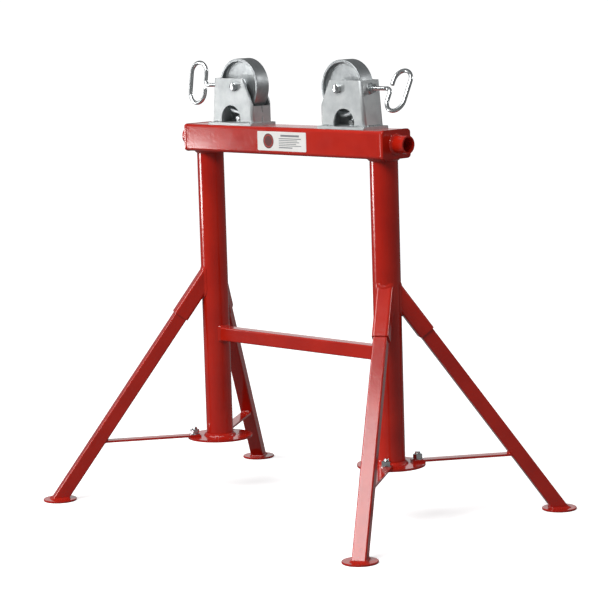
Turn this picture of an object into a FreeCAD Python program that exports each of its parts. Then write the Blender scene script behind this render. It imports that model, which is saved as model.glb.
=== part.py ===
import FreeCAD, Part
import math
import os

# Two-roller adjustable pipe stand, millimetres, +Z up, X along the top beam.
# The origin is on the floor, midway between the two columns.

# --- driving dimensions: columns and frame -------------------------------------------
column_od = 63.5
column_wall = 3.2
column_base_height = 133.0      # floor to the top of the column base plate
beam_underside = 817.5

beam_length = 647.0             # over both end caps
column_inset = 40.5             # beam's end to a column's axis
beam_depth = 88.9
beam_height = 63.5
beam_wall = 4.8
beam_corner = 8.0
cap_thickness = 5.0

stub_od = 40.0
stub_wall = 3.6
stub_length = 35.0

crossbar_size = 31.75
crossbar_wall = 2.6
crossbar_corner = 3.2
crossbar_height = 381.5         # floor to the crossbar's centre line

# --- driving dimensions: legs --------------------------------------------------------
leg_reach = 390.0               # column axis to foot centre, level
leg_turn = 56.7                 # degrees, each leg's plan angle away from the beam line
leg_slope = 54.2                # degrees, leg axis below level
leg_size = 31.75
leg_wall = 2.6
leg_corner = 3.2
socket_wall = 3.0
socket_clearance = 0.175        # leg to socket, each side
socket_stand_off = 93.0         # column surface to the socket's mouth, along its axis
leg_column_gap = 3.0            # column surface to the nearest corner of the leg's top end
foot_od = 79.0
foot_thickness = 5.0
foot_chamfer = 1.0

base_plate_rim = 45.25          # column surface to the base plate's edge
base_plate_thickness = 5.0
brace_stud_room = 29.25         # column surface to a brace stud's axis
brace_width = 25.0
brace_thickness = 5.0
brace_end_margin = 14.0         # brace stud's axis to the brace's inner end

# --- driving dimensions: fasteners ---------------------------------------------------
bolt_diameter = 12.7
bolt_hole_clearance = 0.35      # radial
hex_across_flats = 1.5 * bolt_diameter
hex_head_height = 0.6 * bolt_diameter
hex_nut_height = 0.82 * bolt_diameter
hex_chamfer_share = 0.95        # a hexagon's end face over its width across flats
hex_chamfer_angle = 30.0
washer_od = 1.97 * bolt_diameter
washer_thickness = 2.2
thread_end = 3.0                # thread that stands out of a tightened nut
stud_thread_end = 5.0           # the same, above the nuts of the brace studs
thread_chamfer = 1.0

# --- driving dimensions: label -------------------------------------------------------
label_length = 158.0
label_margin = 1.75             # label's edge to the start of the beam's rounded corners
label_thickness = 0.4
label_corner = 3.0
label_shift = 7.0               # label centre, along the beam from the middle

# --- driving dimensions: roller heads ------------------------------------------------
left_axle_place = -158.0
right_axle_place = 177.0
axle_nearest = 75.0             # nearest an axle clamps to the beam's middle
axle_end_room = 101.5           # nearest an axle clamps to the beam's end

wheel_radius = 63.5
wheel_width = 38.0
rim_thickness = 7.0
web_thickness = 21.0
hub_od = 34.0
hub_width = 44.0
bush_wall = 2.15
axle_running_clearance = 0.05   # radial, bush on axle bolt
wheel_edge_round = 1.5
web_fillet = 3.0

sheet = 5.0                     # bracket plate
bracket_spare_length = 3.0      # bracket's length at axle height over the wheel's diameter
bracket_top_room = 18.0         # axle to the bracket's top edge
bracket_slope_run = 32.0        # level length of the bracket's sloping inner edge
bracket_lean = 5.3              # degrees, the back wall leans out towards its foot
nose_height = 38.5              # height of the bracket's inner wall
bend_radius = 7.5               # outside radius of the bracket's bends
wheel_back_gap = 4.2            # tread to the bracket's back wall
hub_side_gap = 0.4              # hub end to spacer
spacer_thickness = 3.6
spacer_od = 24.0
wheel_floor_gap = 20.5          # tread to the head base plate
arch_radius = 32.0
arch_height = 40.0
arch_from_back = 56.5           # bracket's outer face to the arch centre line
seam_gap = 3.2
tack_low = 14.0
tack_high = 24.0

head_base_thickness = 6.0
head_base_side_lip = 9.0
head_base_outer_lip = 14.0
head_base_inner_lip = 4.0
head_base_corner = 4.0

clamp_slot_clearance = 0.9      # radial, clamp bolt in the beam's slot
clamp_slot_end_room = 1.0
clamp_plate_length = 60.0
clamp_plate_side_room = 11.65   # clamp plate to each side wall of the beam
clamp_plate_thickness = 8.0
clamp_plate_gap = 0.3           # clamp plate to the inside of the beam's top wall

rod_diameter = 9.5
rod_thread_clearance = 0.08     # radial, brake screw in its nut
rod_hole_clearance = 0.6        # radial, brake screw in the back wall
brake_nut_across_flats = 19.0
brake_nut_height = 9.5
pad_gap = 2.4                   # brake pad to tread at rest
pad_diameter = 8.0
pad_thickness = 4.0
pad_spigot_diameter = 4.0
pad_spigot_length = 4.0
pad_spigot_clearance = 0.05     # radial
pad_spigot_end_room = 0.4
handle_stand_off = 61.0         # bracket's outer face to the handle's inner side, at axle height
handle_bend_radius = 11.0
handle_width = 60.0             # over the rod
handle_long_side = 57.0         # screw axis to the handle's end on the bent side
handle_short_side = 48.0        # screw axis to the other end
handle_free_end = 8.0           # screw axis to the rod's free end
left_handle_angle = 8.0         # degrees about the screw axis, 0 is bent side up
right_handle_angle = 207.0

# --- worked-out sizes ----------------------------------------------------------------
column_radius = column_od / 2
column_spacing = beam_length - 2 * column_inset
base_plate_od = column_od + 2 * base_plate_rim
brace_stud_reach = column_radius + brace_stud_room
label_height = beam_height - 2 * (beam_corner + label_margin)
beam_top = beam_underside + beam_height
head_base_top = beam_top + head_base_thickness
axle_furthest = beam_length / 2 - axle_end_room
axle_height = wheel_radius + wheel_floor_gap
bush_od = bolt_diameter + 2 * bush_wall
bracket_height = axle_height + bracket_top_room
bracket_inner_width = hub_width + 2 * (hub_side_gap + spacer_thickness)
bracket_width = bracket_inner_width + 2 * sheet
head_base_width = bracket_width + 2 * head_base_side_lip
outer_face = wheel_radius + wheel_back_gap + sheet      # at axle height
inner_face = outer_face - 2 * wheel_radius - bracket_spare_length
clamp_offset = outer_face - arch_from_back
clamp_plate_width = beam_depth - 2 * (beam_wall + clamp_plate_side_room)
axle_z = head_base_top + axle_height
slope = math.radians(leg_slope)
lean = math.radians(bracket_lean)
socket_size = leg_size + 2 * (socket_clearance + socket_wall)
overcut = 5.0                   # how far a cutting tool runs past what it cuts
along_axis = 0.2                # sine of the largest angle that still counts as along an axis
same_size = 0.01                # lengths this close are the same

X = FreeCAD.Vector(1, 0, 0)
Y = FreeCAD.Vector(0, 1, 0)
Z = FreeCAD.Vector(0, 0, 1)


def point(x, y, z):
    return FreeCAD.Vector(x, y, z)


def save(name, shape):
    shape.exportStep("parts/" + name + ".step")


# --- plain shapes ----------------------------------------------------------------------
def block(x, y, z):
    """Box from three (low, high) pairs."""
    return Part.makeBox(x[1] - x[0], y[1] - y[0], z[1] - z[0], point(x[0], y[0], z[0]))


def rod(radius, length, base, axis):
    return Part.makeCylinder(radius, length, base, axis)


def ring(outer_radius, inner_radius, length, base, axis):
    bore = rod(inner_radius, length + 2 * overcut, base - axis * overcut, axis)
    return rod(outer_radius, length, base, axis).cut(bore)


def round_edges(shape, axis, radius):
    """Fillet the straight edges that run along axis, or within a few degrees of it."""
    edges = [e for e in shape.Edges
             if isinstance(e.Curve, Part.Line) and e.Curve.Direction.cross(axis).Length < along_axis]
    return shape.makeFillet(radius, edges)


def box_tube(width, height, wall, corner, length):
    """Rounded rectangular tube along +Z, centred on the Z axis."""
    x, y = width / 2, height / 2
    outer = block((-x, x), (-y, y), (0, length))
    inner = block((-x + wall, x - wall), (-y + wall, y - wall), (0, length))
    return round_edges(outer, Z, corner).cut(round_edges(inner, Z, max(corner - wall, wall / 4)))


def box_bar(width, height, corner, length):
    """Solid bar with the outline of a box_tube."""
    bar = block((-width / 2, width / 2), (-height / 2, height / 2), (0, length))
    return round_edges(bar, Z, corner)


def aim(shape, origin, direction, side):
    """Stand a shape made along +Z at origin, its Z along direction and its X along side."""
    third = direction.cross(side)
    matrix = FreeCAD.Matrix(side.x, third.x, direction.x, origin.x,
                            side.y, third.y, direction.y, origin.y,
                            side.z, third.z, direction.z, origin.z,
                            0, 0, 0, 1)
    placed = shape.copy()
    placed.Placement = FreeCAD.Placement(matrix)
    return placed


def prism(outline, axis, length):
    """Extrude a closed polygon, given as a list of points."""
    wire = Part.makePolygon(outline + [outline[0]])
    return Part.Face(wire).extrude(axis * length)


# --- fasteners -------------------------------------------------------------------------
def hex_body(across_flats, height, both_ends):
    """Hexagonal prism along +Z with its corners turned off at the top, or at both ends."""
    corner = across_flats / math.sqrt(3)
    outline = [point(corner * math.cos(math.radians(60 * i)), corner * math.sin(math.radians(60 * i)), 0)
               for i in range(6)]
    flat_radius = across_flats / 2 * hex_chamfer_share
    drop = (corner - flat_radius) * math.tan(math.radians(hex_chamfer_angle))
    low = drop if both_ends else 0
    profile = [point(0, 0, 0), point(flat_radius if both_ends else corner, 0, 0), point(corner, 0, low),
               point(corner, 0, height - drop), point(flat_radius, 0, height), point(0, 0, height)]
    if not both_ends:
        profile.pop(2)
    turned = Part.Face(Part.makePolygon(profile + [profile[0]])).revolve(point(0, 0, 0), Z, 360)
    return prism(outline, Z, height).common(turned)


def bolt(shank_length):
    """Hex bolt along -Z, the underside of its head on z = 0."""
    head = hex_body(hex_across_flats, hex_head_height, False)
    shank = rod(bolt_diameter / 2, shank_length, point(0, 0, 0), point(0, 0, -1))
    end = [e for e in shank.Edges
           if isinstance(e.Curve, Part.Circle) and e.CenterOfMass.z < -shank_length / 2]
    return head.fuse(shank.makeChamfer(thread_chamfer, end)).removeSplitter()


def stud(length):
    """Plain round stud standing on z = 0, its upper end chamfered."""
    shank = rod(bolt_diameter / 2, length, point(0, 0, 0), Z)
    end = [e for e in shank.Edges
           if isinstance(e.Curve, Part.Circle) and e.CenterOfMass.z > length / 2]
    return shank.makeChamfer(thread_chamfer, end)


def nut(across_flats, height, bore_radius):
    """Hex nut standing on z = 0."""
    bore = rod(bore_radius, height + 2 * overcut, -Z * overcut, Z)
    return hex_body(across_flats, height, True).cut(bore)


def hex_nut():
    return nut(hex_across_flats, hex_nut_height, bolt_diameter / 2)


def washer():
    return ring(washer_od / 2, bolt_diameter / 2, washer_thickness, point(0, 0, 0), Z)


# --- frame -----------------------------------------------------------------------------
def column_axis(side):
    return point(side * column_spacing / 2, 0, 0)


def column_solid(side):
    """Solid envelope of a column, used to cope what is welded to it."""
    return rod(column_radius, beam_underside, column_axis(side), Z)


def make_column(side):
    length = beam_underside - column_base_height
    base = column_axis(side) + Z * column_base_height
    return ring(column_radius, column_radius - column_wall, length, base, Z)


def make_beam():
    length = beam_length - 2 * cap_thickness
    start = point(-length / 2, 0, beam_underside + beam_height / 2)
    beam = aim(box_tube(beam_depth, beam_height, beam_wall, beam_corner, length), start, X, -Y)
    radius = bolt_diameter / 2 + clamp_slot_clearance
    near = axle_nearest + clamp_offset - clamp_slot_end_room
    far = axle_furthest + clamp_offset + clamp_slot_end_room
    low = beam_top - beam_wall - overcut
    height = beam_wall + 2 * overcut
    for side in (-1, 1):
        ends = sorted((side * near, side * far))
        slot = block(ends, (-radius, radius), (low, low + height))
        for x in ends:
            slot = slot.fuse(rod(radius, height, point(x, 0, low), Z))
        beam = beam.cut(slot)
    return beam.removeSplitter()


def make_beam_cap(side):
    start = point(side * beam_length / 2, 0, beam_underside + beam_height / 2)
    return aim(box_bar(beam_depth, beam_height, beam_corner, cap_thickness), start, X * -side, Y * side)


def make_beam_stub(side):
    start = point(side * beam_length / 2, 0, beam_underside + beam_height / 2)
    return ring(stub_od / 2, stub_od / 2 - stub_wall, stub_length, start, X * side)


def make_crossbar():
    start = column_axis(-1) + Z * crossbar_height
    tube = box_tube(crossbar_size, crossbar_size, crossbar_wall, crossbar_corner, column_spacing)
    bar = aim(tube, start, X, -Y)
    return bar.cut(column_solid(-1)).cut(column_solid(1))


def leg_plan(side, face):
    """Level unit vector from the column axis towards a foot."""
    turn = math.radians(leg_turn)
    return point(side * math.cos(turn), face * math.sin(turn), 0)


def leg_axis(side, face):
    """Where the leg's axis leaves the column axis, its direction, and its level side vector."""
    plan = leg_plan(side, face)
    top = column_axis(side) + Z * (foot_thickness + leg_reach * math.tan(slope))
    return top, plan * math.cos(slope) - Z * math.sin(slope), Z.cross(plan)


def leg_length_to(reach):
    return reach / math.cos(slope)


def make_socket(side, face):
    top, direction, across = leg_axis(side, face)
    mouth = leg_length_to(column_radius) + socket_stand_off
    tube = box_tube(socket_size, socket_size, socket_wall, leg_corner + socket_wall, mouth)
    return aim(tube, top, direction, across).cut(column_solid(side))


def leg_blank(side, face, shape_of):
    """Leg bar or tube from its top end inside the socket to the foot's upper face."""
    top, direction, across = leg_axis(side, face)
    start = (column_radius + leg_column_gap + leg_size / 2 * math.sin(slope)) / math.cos(slope)
    length = leg_length_to(leg_reach) + leg_size - start
    shape = aim(shape_of(length), top + direction * start, direction, across)
    foot = column_axis(side) + leg_plan(side, face) * leg_reach
    floor = rod(foot_od, 2 * foot_od, foot + Z * (foot_thickness - 2 * foot_od), Z)
    return shape.cut(floor)


def make_leg(side, face):
    return leg_blank(side, face, lambda length: box_tube(leg_size, leg_size, leg_wall, leg_corner, length))


def leg_solid(side, face):
    return leg_blank(side, face, lambda length: box_bar(leg_size, leg_size, leg_corner, length))


def make_foot(side, face):
    centre = column_axis(side) + leg_plan(side, face) * leg_reach
    foot = rod(foot_od / 2, foot_thickness, centre, Z)
    return foot.makeChamfer(foot_chamfer, [e for e in foot.Edges if isinstance(e.Curve, Part.Circle)])


def brace_stud_place(side, face):
    return column_axis(side) + leg_plan(side, face) * brace_stud_reach


def make_base_plate(side):
    low = column_base_height - base_plate_thickness
    plate = rod(base_plate_od / 2, base_plate_thickness, column_axis(side) + Z * low, Z)
    for face in (-1, 1):
        hole_base = brace_stud_place(side, face) + Z * (low - overcut)
        plate = plate.cut(rod(bolt_diameter / 2, base_plate_thickness + 2 * overcut, hole_base, Z))
    return plate


def make_brace(side, face):
    start = column_axis(side) + leg_plan(side, face) * (brace_stud_reach - brace_end_margin)
    length = leg_reach - brace_stud_reach
    bar = block((0, length), (-brace_width / 2, brace_width / 2), (0, brace_thickness))
    bar = aim(bar, start + Z * column_base_height, Z, leg_plan(side, face))
    hole_base = brace_stud_place(side, face) + Z * (column_base_height - overcut)
    hole_radius = bolt_diameter / 2 + bolt_hole_clearance
    bar = bar.cut(rod(hole_radius, brace_thickness + 2 * overcut, hole_base, Z))
    pieces = bar.cut(leg_solid(side, face)).Solids
    return min(pieces, key=lambda piece: piece.CenterOfMass.distanceToPoint(column_axis(side)))


def make_label():
    y = -beam_depth / 2 - label_thickness
    z = beam_underside + beam_height / 2
    plate = block((label_shift - label_length / 2, label_shift + label_length / 2), (y, y + label_thickness),
                  (z - label_height / 2, z + label_height / 2))
    return round_edges(plate, Y, label_corner)


def brace_fasteners():
    """Studs pressed into the base plates from below, each with a washer and a nut over the brace."""
    studs, washers, nuts = [], [], []
    under = column_base_height - base_plate_thickness
    top = column_base_height + brace_thickness
    seat = top + washer_thickness
    for side in (-1, 1):
        for face in (-1, 1):
            place = brace_stud_place(side, face)
            studs.append(stud(seat + hex_nut_height + stud_thread_end - under).translated(place + Z * under))
            washers.append(washer().translated(place + Z * top))
            nuts.append(hex_nut().translated(place + Z * seat))
    return {"brace_studs": studs, "brace_washers": washers, "brace_nuts": nuts}


# --- roller heads ------------------------------------------------------------------------
# Each is modelled with its axle over x = 0 and its back wall towards +X.
def head_base():
    x = (inner_face - head_base_inner_lip, outer_face + head_base_outer_lip)
    plate = block(x, (-head_base_width / 2, head_base_width / 2), (beam_top, head_base_top))
    plate = round_edges(plate, Z, head_base_corner)
    hole = rod(bolt_diameter / 2 + bolt_hole_clearance, head_base_thickness + 2 * overcut,
               point(clamp_offset, 0, beam_top - overcut), Z)
    return plate.cut(hole)


def back_wall_x(z):
    """Outer face of the leaning back wall at height z."""
    return outer_face - (z - axle_z) * math.tan(lean)


def bracket_block(inset, radius):
    """Solid outline of the bracket, brought in by inset on its four sides."""
    low, high = head_base_top, head_base_top + bracket_height
    half = bracket_width / 2 - inset
    back = inset / math.cos(lean)
    outline = [point(inner_face + inset, -half, low), point(back_wall_x(low) - back, -half, low),
               point(back_wall_x(high) - back, -half, high), point(inner_face + inset, -half, high)]
    return round_edges(prism(outline, Y, 2 * half), Z, radius)


def head_bracket():
    """Plate folded into a closed box, open at the top, its seam in the low inner wall."""
    z = (head_base_top, head_base_top + bracket_height)
    half = bracket_width / 2
    shell = bracket_block(0, bend_radius).cut(bracket_block(sheet, bend_radius - sheet))

    shoulder = inner_face + bracket_slope_run
    nose = head_base_top + nose_height
    past = inner_face - overcut
    above = z[1] + overcut
    front = -half - overcut
    slope_outline = [point(inner_face, front, nose), point(shoulder, front, z[1]),
                     point(shoulder, front, above), point(past, front, above), point(past, front, nose)]
    shell = shell.cut(prism(slope_outline, Y, bracket_width + 2 * overcut))
    between_sides = (-half + sheet, half - sheet)
    shell = shell.cut(block((past, inner_face + sheet + overcut), between_sides, (nose, above)))

    arch_axis = point(clamp_offset, front, head_base_top + arch_height - arch_radius)
    arch = rod(arch_radius, bracket_width + 2 * overcut, arch_axis, Y)
    arch = arch.fuse(block((clamp_offset - arch_radius, clamp_offset + arch_radius), (front, -front),
                           (head_base_top - overcut, arch_axis.z)))
    arch = arch.cut(block((clamp_offset - 2 * arch_radius, clamp_offset + 2 * arch_radius), (front, -front),
                          (head_base_top - 3 * arch_radius, head_base_top - overcut)))
    shell = shell.cut(arch)

    for low, high in ((-overcut, tack_low), (tack_high, nose_height + overcut)):
        shell = shell.cut(block((past, inner_face + sheet + overcut), (-seam_gap / 2, seam_gap / 2),
                                (head_base_top + low, head_base_top + high)))
    shell = shell.cut(rod(bolt_diameter / 2 + bolt_hole_clearance, bracket_width + 2 * overcut,
                          point(0, front, axle_z), Y))
    shell = shell.cut(rod(rod_diameter / 2 + rod_hole_clearance, sheet + 2 * overcut,
                          point(outer_face - sheet - overcut, 0, axle_z), X))
    return shell.removeSplitter()


def head_wheel():
    """Steel roller: rim, recessed web and hub turned about the axle."""
    half_rim, half_web, half_hub = wheel_width / 2, web_thickness / 2, hub_width / 2
    inner_rim = wheel_radius - rim_thickness
    hub = hub_od / 2
    side_profile = [(bush_od / 2, half_hub), (hub, half_hub), (hub, half_web), (inner_rim, half_web),
                    (inner_rim, half_rim), (wheel_radius, half_rim)]
    profile = side_profile + [(r, -y) for r, y in reversed(side_profile)]
    outline = Part.makePolygon([point(r, y, 0) for r, y in profile + profile[:1]])
    wheel = Part.Face(outline).revolve(point(0, 0, 0), Y, 360)

    def circles(radius, y):
        return [e for e in wheel.Edges if isinstance(e.Curve, Part.Circle)
                and abs(e.Curve.Radius - radius) < same_size and abs(abs(e.Curve.Center.y) - y) < same_size]

    wheel = wheel.makeFillet(web_fillet, circles(hub, half_web) + circles(inner_rim, half_web))
    wheel = wheel.makeFillet(wheel_edge_round, circles(wheel_radius, half_rim) + circles(inner_rim, half_rim))
    return wheel.translated(point(0, 0, axle_z))


def head_bush():
    inner = bolt_diameter / 2 + axle_running_clearance
    return ring(bush_od / 2, inner, hub_width, point(0, -hub_width / 2, axle_z), Y)


def head_axle_bolt():
    length = bracket_width + hex_nut_height + thread_end
    return aim(bolt(length), point(0, -bracket_width / 2, axle_z), -Y, X)


def head_axle_nut():
    return aim(hex_nut(), point(0, bracket_width / 2, axle_z), Y, X)


def head_axle_spacers():
    starts = (-bracket_inner_width / 2, bracket_inner_width / 2 - spacer_thickness)
    return Part.makeCompound([ring(spacer_od / 2, bolt_diameter / 2, spacer_thickness, point(0, y, axle_z), Y)
                              for y in starts])


def clamp_plate_z():
    top = beam_top - beam_wall - clamp_plate_gap
    return (top - clamp_plate_thickness, top)


def head_clamp_plate():
    x = (clamp_offset - clamp_plate_length / 2, clamp_offset + clamp_plate_length / 2)
    plate = block(x, (-clamp_plate_width / 2, clamp_plate_width / 2), clamp_plate_z())
    return plate.cut(rod(bolt_diameter / 2, clamp_plate_thickness + 2 * overcut,
                         point(clamp_offset, 0, clamp_plate_z()[0] - overcut), Z))


def head_clamp_bolt():
    seat = clamp_plate_z()[0]
    top = head_base_top + washer_thickness + hex_nut_height + thread_end
    return aim(bolt(top - seat), point(clamp_offset, 0, seat), -Z, X)


def head_clamp_washer():
    return washer().translated(point(clamp_offset, 0, head_base_top))


def head_clamp_nut():
    seat = head_base_top + washer_thickness
    return hex_nut().translated(point(clamp_offset, 0, seat))


def head_brake_nut():
    """Nut welded to the back wall: its inner end is cut to the wall's lean."""
    bore = rod_diameter / 2 + rod_thread_clearance
    long_nut = nut(brake_nut_across_flats, brake_nut_height + sheet, bore)
    return aim(long_nut, point(outer_face - sheet, 0, axle_z), X, Y).cut(bracket_block(0, bend_radius))


def pad_face():
    return wheel_radius + pad_gap


def head_brake_pad():
    disc = rod(pad_diameter / 2, pad_thickness, point(pad_face(), 0, axle_z), X)
    spigot = rod(pad_spigot_diameter / 2, pad_thickness + pad_spigot_length, point(pad_face(), 0, axle_z), X)
    return disc.fuse(spigot).removeSplitter()


def head_brake_screw(angle):
    """Round rod: straight screw, a bend, and an oval loop that ends beside the bend."""
    turn = math.radians(angle)
    bent = point(0, math.sin(turn), math.cos(turn))
    tip = point(pad_face() + pad_thickness, 0, axle_z)

    def at(out, along):
        return point(outer_face + out, 0, axle_z) + bent * along

    rod_radius = rod_diameter / 2
    near = handle_stand_off
    end_radius = handle_width / 2 - rod_radius
    middle = near + end_radius
    far = near + 2 * end_radius
    high = handle_long_side - rod_radius - end_radius
    low = -(handle_short_side - rod_radius - end_radius)
    bend = handle_bend_radius
    diagonal = bend * math.sqrt(0.5)
    edges = [Part.LineSegment(tip, at(near - bend, 0)),
             Part.Arc(at(near - bend, 0), at(near - bend + diagonal, bend - diagonal), at(near, bend)),
             Part.LineSegment(at(near, bend), at(near, high)),
             Part.Arc(at(near, high), at(middle, high + end_radius), at(far, high)),
             Part.LineSegment(at(far, high), at(far, low)),
             Part.Arc(at(far, low), at(middle, low - end_radius), at(near, low)),
             Part.LineSegment(at(near, low), at(near, -handle_free_end))]
    path = Part.Wire([edge.toShape() for edge in edges])
    section = Part.Wire([Part.Circle(tip, X, rod_radius).toShape()])
    screw = path.makePipeShell([section], True, False)
    bore_depth = pad_spigot_length + pad_spigot_end_room
    bore = rod(pad_spigot_diameter / 2 + pad_spigot_clearance, bore_depth, tip, X)
    return screw.cut(bore)


def make_head(handle_angle):
    return {
        "head_base": head_base(),
        "bracket": head_bracket(),
        "wheel": head_wheel(),
        "wheel_bush": head_bush(),
        "axle_bolt": head_axle_bolt(),
        "axle_nut": head_axle_nut(),
        "axle_spacers": head_axle_spacers(),
        "clamp_plate": head_clamp_plate(),
        "clamp_bolt": head_clamp_bolt(),
        "clamp_washer": head_clamp_washer(),
        "clamp_nut": head_clamp_nut(),
        "brake_nut": head_brake_nut(),
        "brake_pad": head_brake_pad(),
        "brake_screw": head_brake_screw(handle_angle),
    }


# --- build and write every node ------------------------------------------------------------
os.makedirs("parts", exist_ok=True)
save("top_beam", make_beam())
save("crossbar", make_crossbar())
save("label", make_label())
for name, solids in brace_fasteners().items():
    save(name, Part.makeCompound(solids))

for side, side_name in ((-1, "left"), (1, "right")):
    save(side_name + "_beam_cap", make_beam_cap(side))
    save(side_name + "_beam_stub", make_beam_stub(side))
    save(side_name + "_column", make_column(side))
    save(side_name + "_base_plate", make_base_plate(side))
    for face, face_name in ((-1, "front"), (1, "back")):
        corner_name = face_name + "_" + side_name
        save(corner_name + "_socket", make_socket(side, face))
        save(corner_name + "_leg", make_leg(side, face))
        save(corner_name + "_foot", make_foot(side, face))
        save(corner_name + "_brace", make_brace(side, face))

for name, shape in make_head(right_handle_angle).items():
    save("right_" + name, shape.translated(X * right_axle_place))
for name, shape in make_head(left_handle_angle).items():
    mirrored = shape.mirror(point(0, 0, 0), X)
    save("left_" + name, mirrored.translated(X * left_axle_place))
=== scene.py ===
# %% [markdown]
# # A roller pipe stand: red tube frame, two zinc-plated roller heads
#
# The real thing holds a length of pipe level while it is threaded or cut. Four legs and two columns carry
# a box beam, and on the beam sit two heads, each with a steel roller in a folded bracket and a brake screw
# with a bent-rod handle. The exact solids come from the CAD model, which this script loads as a fixed frame.
# What is left for Blender is everything that makes the parts look made: weld beads, screw threads, turned
# faces, paint, plating and light.

# %% Load the CAD frame
import math

import bmesh
import bpy
import numpy as np
from mathutils import Matrix, Vector


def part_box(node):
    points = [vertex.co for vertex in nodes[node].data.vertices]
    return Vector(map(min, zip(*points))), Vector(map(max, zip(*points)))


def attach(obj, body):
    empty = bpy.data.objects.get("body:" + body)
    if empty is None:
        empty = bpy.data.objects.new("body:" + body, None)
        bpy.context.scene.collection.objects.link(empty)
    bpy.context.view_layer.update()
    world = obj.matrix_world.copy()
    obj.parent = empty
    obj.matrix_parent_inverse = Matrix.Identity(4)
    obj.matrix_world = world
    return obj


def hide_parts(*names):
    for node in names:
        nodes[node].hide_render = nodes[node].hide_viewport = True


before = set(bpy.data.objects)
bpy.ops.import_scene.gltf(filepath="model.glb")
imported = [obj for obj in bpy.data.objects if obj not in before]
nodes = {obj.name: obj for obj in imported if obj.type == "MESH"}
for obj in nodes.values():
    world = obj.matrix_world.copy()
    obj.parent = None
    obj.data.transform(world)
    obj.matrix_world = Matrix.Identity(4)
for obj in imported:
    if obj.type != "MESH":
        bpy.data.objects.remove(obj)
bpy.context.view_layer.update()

# %% [markdown]
# Everything is in metres, while drawings of steelwork are in millimetres. One constant turns one into the
# other, so that the sizes below read like a drawing.

# %% Units and names
MM = 0.001
SIDES = {"left": -1.0, "right": 1.0}
FACES = {"front": -1.0, "back": 1.0}
X_WAY, Y_WAY, UP = np.eye(3)


def cad_span(name):
    """Lowest and highest corner of a CAD node, as two numpy rows."""
    return np.array(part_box(name))


def cad_centre(name):
    return cad_span(name).mean(axis=0)


print("left column stands at", np.round(cad_centre("left_column") / MM, 1), "mm")

# %% [markdown]
# ## Camera
#
# The stand is seen from its right end, a little above the beam, with a long lens, so that the four legs keep
# nearly their true proportions. A camera's own axes are columns of its matrix: right, up and backwards.
# Giving them directly keeps the slight roll of a hand-levelled camera, which a "look at" would lose.

# %% Place the camera
LENS, SENSOR_WIDTH = 147.04, 36.0               # millimetres
NEAR, FAR = 0.1, 400.0
CAMERA_PLACE = Vector((4.06037, -3.95278, 1.24682))
CAMERA_RIGHT = Vector((0.70175, 0.71182, -0.02936)).normalized()
CAMERA_BACK = Vector((0.70835, -0.69274, 0.13546)).normalized()

camera_data = bpy.data.cameras.new("view")
camera_data.lens = LENS
camera_data.sensor_width = SENSOR_WIDTH
camera_data.clip_start, camera_data.clip_end = NEAR, FAR
camera = bpy.data.objects.new("view", camera_data)
bpy.context.scene.collection.objects.link(camera)
camera_up = CAMERA_BACK.cross(CAMERA_RIGHT).normalized()
camera.matrix_world = Matrix([(*axis, 0.0) for axis in (CAMERA_RIGHT, camera_up, CAMERA_BACK)]
                             + [(*CAMERA_PLACE, 1.0)]).transposed()
bpy.context.scene.camera = camera
bpy.context.scene.view_settings.view_transform = "Standard"
print("camera distance:", round(CAMERA_PLACE.length, 2), "m, lens", LENS, "mm")

# %% [markdown]
# ## Nodes and colours
#
# A material is a small graph of nodes. Two helpers keep it readable: one turns the sRGB hex value that a
# paint chart gives into the linear light values that Cycles works in, and one adds any node together with
# its settings and the sockets that feed it.

# %% Helpers for materials
def linear(hex_code):
    """sRGB hex to linear RGBA: below 0.04045 divide by 12.92, above it ((c + 0.055) / 1.055) to the 2.4."""
    value = np.array([int(hex_code[i:i + 2], 16) for i in (1, 3, 5)]) / 255.0
    light = np.where(value <= 0.04045, value / 12.92, ((value + 0.055) / 1.055) ** 2.4)
    return (*light, 1.0)


def node(tree, kind, settings=None, **inputs):
    """Add a node. settings are its own properties; inputs are numbers, colours or other nodes' sockets."""
    made = tree.nodes.new(kind)
    for name, value in (settings or {}).items():
        setattr(made, name, value)
    for name, value in inputs.items():
        key = int(name[1:]) if name[0] == "_" and name[1:].isdigit() else name.replace("_", " ")
        if isinstance(value, bpy.types.NodeSocket):
            tree.links.new(value, made.inputs[key])
        else:
            made.inputs[key].default_value = value
    return made


def math_node(tree, operation, *values):
    return node(tree, "ShaderNodeMath", {"operation": operation},
                **{f"_{i}": value for i, value in enumerate(values)}).outputs[0]


def new_material(name):
    """A material, its empty tree, and places in the object's own axes to feed its patterns."""
    material = bpy.data.materials.new(name)
    material.use_nodes = True
    tree = material.node_tree
    tree.nodes.clear()
    return material, tree, node(tree, "ShaderNodeTexCoord").outputs["Object"]


def ramp(tree, factor, low, high, colours):
    """Blend between two colours as factor goes from low to high."""
    share = node(tree, "ShaderNodeMapRange", Value=factor, From_Min=low, From_Max=high)
    return node(tree, "ShaderNodeMix", {"data_type": "RGBA"}, _0=share.outputs[0],
                _6=colours[0], _7=colours[1]).outputs[2]


def spread(tree, factor, low, high, to_low, to_high):
    """Stretch factor's range low..high to to_low..to_high, held at both ends."""
    return node(tree, "ShaderNodeMapRange", Value=factor, From_Min=low, From_Max=high,
                To_Min=to_low, To_Max=to_high).outputs[0]


def noise(tree, place, size, detail=2.0, roughness=0.5):
    """Noise whose blobs are about size metres across."""
    return node(tree, "ShaderNodeTexNoise", Vector=place, Scale=1.0 / size, Detail=detail,
                Roughness=roughness).outputs[0]


def finished(material, shader):
    node(material.node_tree, "ShaderNodeOutputMaterial", Surface=shader.outputs[0])
    return material


print("red enamel in linear light:", np.round(linear("#C5210E"), 3))

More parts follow.
